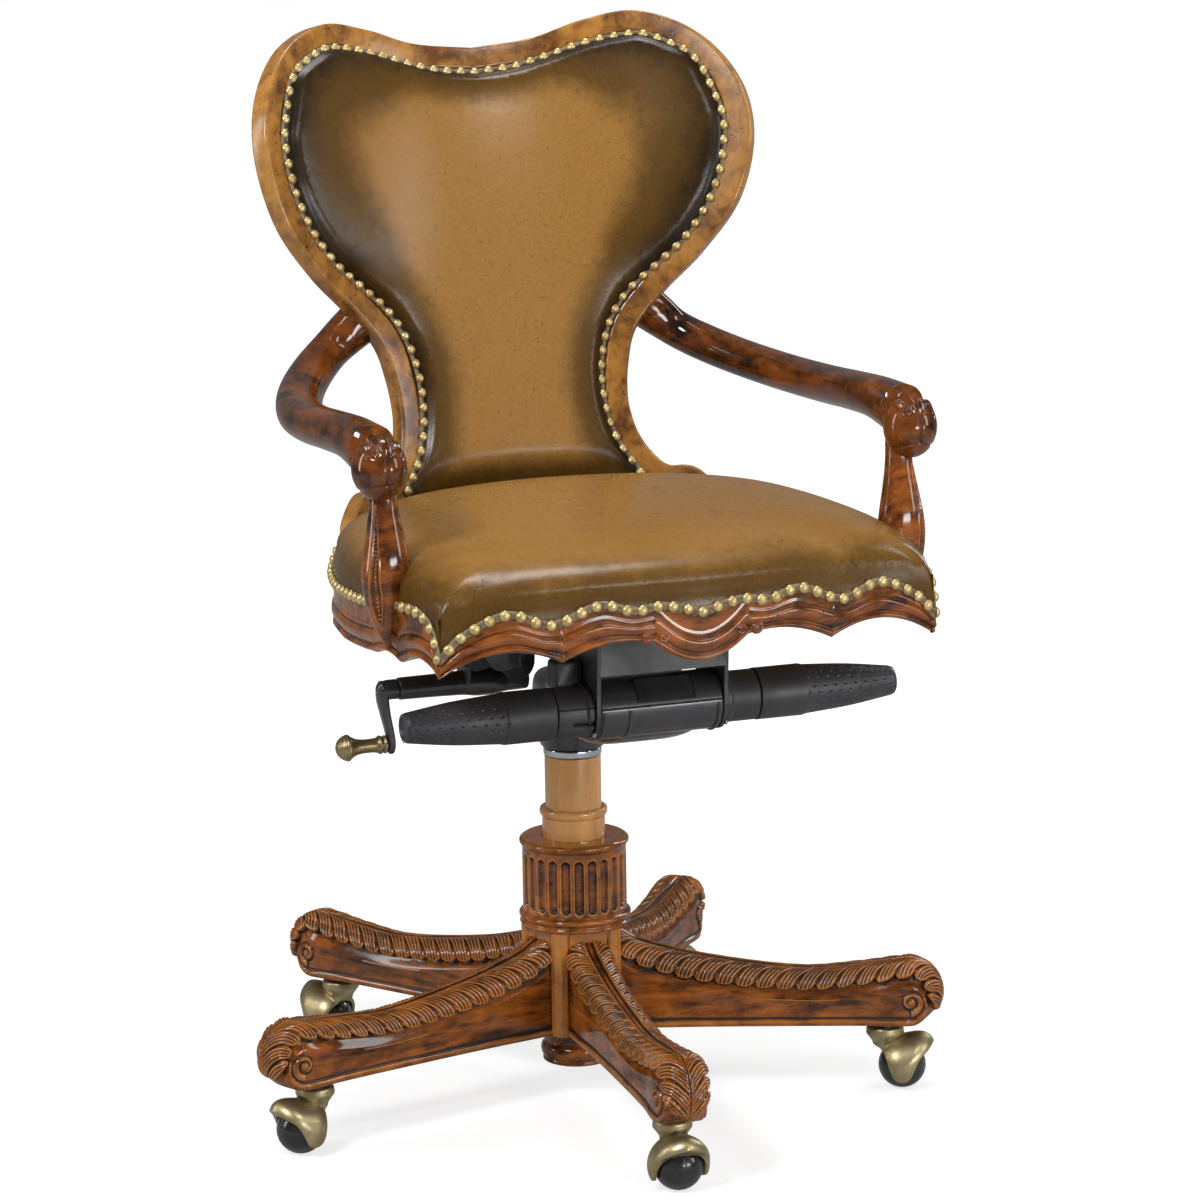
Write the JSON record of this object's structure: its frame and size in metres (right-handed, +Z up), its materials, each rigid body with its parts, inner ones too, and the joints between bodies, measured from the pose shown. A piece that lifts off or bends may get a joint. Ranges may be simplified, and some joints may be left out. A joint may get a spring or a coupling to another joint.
{
  "type": "office chair",
  "caption": "Traditional swivel office chair with a carved base on ball casters, knee tilt, nailed leather seat and keyhole-shaped back.",
  "frame": {"origin": "middle of the chair's bounding box in plan, at floor level under the casters", "axes": "+Z up; the sitter faces -Y; +X is on the right of the picture, the sitter's left"},
  "size_m": [0.741, 0.7188, 1.1124],
  "materials": {
    "carved_base_walnut": "glossy dark reddish walnut, carved and lightly distressed",
    "dark_frame_walnut": "glossy dark reddish walnut with worn edges",
    "light_veneer_walnut": "satin golden-brown walnut veneer",
    "honey_column_wood": "satin honey-coloured wood",
    "plywood": "bare plywood",
    "golden_brown_leather": "semi-gloss antiqued leather with burnished edges",
    "antique_brass": "antiqued satin brass",
    "knob_brass": "antiqued satin brass",
    "black_moulded_plastic": "satin black moulded plastic",
    "black_painted_steel": "satin black paint",
    "black_ball_rubber": "black, lightly scuffed",
    "tension_rubber": "matt black",
    "bare_steel": "plain turned steel",
    "bright_chrome": "polished"
  },
  "bodies": {
    "base": {"fluted_hub": "carved_base_walnut", "hub_foot": "carved_base_walnut", "gas_cylinder": "bare_steel", "lower_sleeve": "honey_column_wood", "leg_1": "carved_base_walnut", "leg_2": "carved_base_walnut", "leg_3": "carved_base_walnut", "leg_4": "carved_base_walnut", "leg_5": "carved_base_walnut"},
    "caster_1": {"caster_stem_1": "bare_steel", "caster_hood_1": "antique_brass", "caster_axle_1": "bare_steel"},
    "wheel_1": {"caster_ball_1": "black_ball_rubber"},
    "caster_2": {"caster_stem_2": "bare_steel", "caster_hood_2": "antique_brass", "caster_axle_2": "bare_steel"},
    "wheel_2": {"caster_ball_2": "black_ball_rubber"},
    "caster_3": {"caster_stem_3": "bare_steel", "caster_hood_3": "antique_brass", "caster_axle_3": "bare_steel"},
    "wheel_3": {"caster_ball_3": "black_ball_rubber"},
    "caster_4": {"caster_stem_4": "bare_steel", "caster_hood_4": "antique_brass", "caster_axle_4": "bare_steel"},
    "wheel_4": {"caster_ball_4": "black_ball_rubber"},
    "caster_5": {"caster_stem_5": "bare_steel", "caster_hood_5": "antique_brass", "caster_axle_5": "bare_steel"},
    "wheel_5": {"caster_ball_5": "black_ball_rubber"},
    "lift": {"piston_rod": "bare_steel", "upper_sleeve": "honey_column_wood", "column_collar": "bright_chrome"},
    "mechanism": {"mechanism_housing": "black_painted_steel", "tilt_axle": "bare_steel", "tension_bush": "tension_rubber", "grip_collar_left": "black_moulded_plastic", "grip_collar_right": "black_moulded_plastic"},
    "grip_left_turn": {"grip_left": "black_moulded_plastic"},
    "grip_right_turn": {"grip_right": "black_moulded_plastic"},
    "seat": {"seat_plate": "black_painted_steel", "crank_sleeve": "black_moulded_plastic", "seat_deck": "plywood", "front_rail": "dark_frame_walnut", "back_rail": "dark_frame_walnut", "left_rail": "dark_frame_walnut", "right_rail": "dark_frame_walnut", "seat_cushion": "golden_brown_leather", "back_frame": "light_veneer_walnut", "back_pad": "golden_brown_leather", "back_cover": "golden_brown_leather", "arm_left": "dark_frame_walnut", "arm_right": "dark_frame_walnut", "arm_post_left": "dark_frame_walnut", "arm_post_right": "dark_frame_walnut"},
    "crank": {"crank_arm": "black_moulded_plastic"},
    "knob": {"crank_knob": "knob_brass"}
  },
  "joints": [
    {"name": "caster_swivel_1", "type": "hinge", "parent": "base", "child": "caster_1", "pos_m": [-0.30863, -0.0567, 0.06], "axis": [0, 0, 1], "continuous": true},
    {"name": "wheel_roll_1", "type": "hinge", "parent": "caster_1", "child": "wheel_1", "pos_m": [-0.32606, -0.06121, 0.025], "axis": [0.2504, -0.9681, 0], "continuous": true},
    {"name": "caster_swivel_2", "type": "hinge", "parent": "base", "child": "caster_2", "pos_m": [-0.01383, -0.29972, 0.06], "axis": [0, 0, 1], "continuous": true},
    {"name": "wheel_roll_2", "type": "hinge", "parent": "caster_2", "child": "wheel_2", "pos_m": [-0.01492, -0.31769, 0.025], "axis": [0.9981, -0.061, 0], "continuous": true},
    {"name": "caster_swivel_3", "type": "hinge", "parent": "base", "child": "caster_3", "pos_m": [0.3084, -0.09444, 0.06], "axis": [0, 0, 1], "continuous": true},
    {"name": "wheel_roll_3", "type": "hinge", "parent": "caster_3", "child": "wheel_3", "pos_m": [0.32515, -0.10104, 0.025], "axis": [0.3665, 0.9304, 0], "continuous": true},
    {"name": "caster_swivel_4", "type": "hinge", "parent": "base", "child": "caster_4", "pos_m": [0.21274, 0.27545, 0.06], "axis": [0, 0, 1], "continuous": true},
    {"name": "wheel_roll_4", "type": "hinge", "parent": "caster_4", "child": "wheel_4", "pos_m": [0.22419, 0.28934, 0.025], "axis": [-0.7716, 0.6361, 0], "continuous": true},
    {"name": "caster_swivel_5", "type": "hinge", "parent": "base", "child": "caster_5", "pos_m": [-0.16861, 0.29877, 0.06], "axis": [0, 0, 1], "continuous": true},
    {"name": "wheel_roll_5", "type": "hinge", "parent": "caster_5", "child": "wheel_5", "pos_m": [-0.17828, 0.31395, 0.025], "axis": [-0.8434, -0.5373, 0], "continuous": true},
    {"name": "gas_lift", "type": "slide", "parent": "base", "child": "lift", "axis": [0, 0, 1], "range_m": [-0.05, 0.05]},
    {"name": "seat_swivel", "type": "hinge", "parent": "lift", "child": "mechanism", "pos_m": [0.00602, 0.02467, 0.3751], "axis": [0, 0, 1], "continuous": true},
    {"name": "knee_tilt", "type": "hinge", "parent": "mechanism", "child": "seat", "pos_m": [0.00602, -0.20663, 0.4677], "axis": [-1, 0, 0], "range_deg": [0, 12], "stiffness_Nm_per_rad": 200, "springref_deg": -20.05},
    {"name": "grip_twist_left", "type": "hinge", "parent": "mechanism", "child": "grip_left_turn", "pos_m": [0.00602, -0.20663, 0.4677], "axis": [1, 0, 0], "range_deg": [-30, 30]},
    {"name": "grip_twist_right", "type": "hinge", "parent": "mechanism", "child": "grip_right_turn", "pos_m": [0.00602, -0.20663, 0.4677], "axis": [1, 0, 0], "range_deg": [-30, 30]},
    {"name": "crank_turn", "type": "hinge", "parent": "seat", "child": "crank", "pos_m": [-0.18399, 0.02467, 0.4525], "axis": [1, 0, 0], "continuous": true},
    {"name": "knob_turn", "type": "hinge", "parent": "crank", "child": "knob", "pos_m": [-0.19998, 0.02467, 0.3955], "axis": [1, 0, 0], "continuous": true}
  ]
}
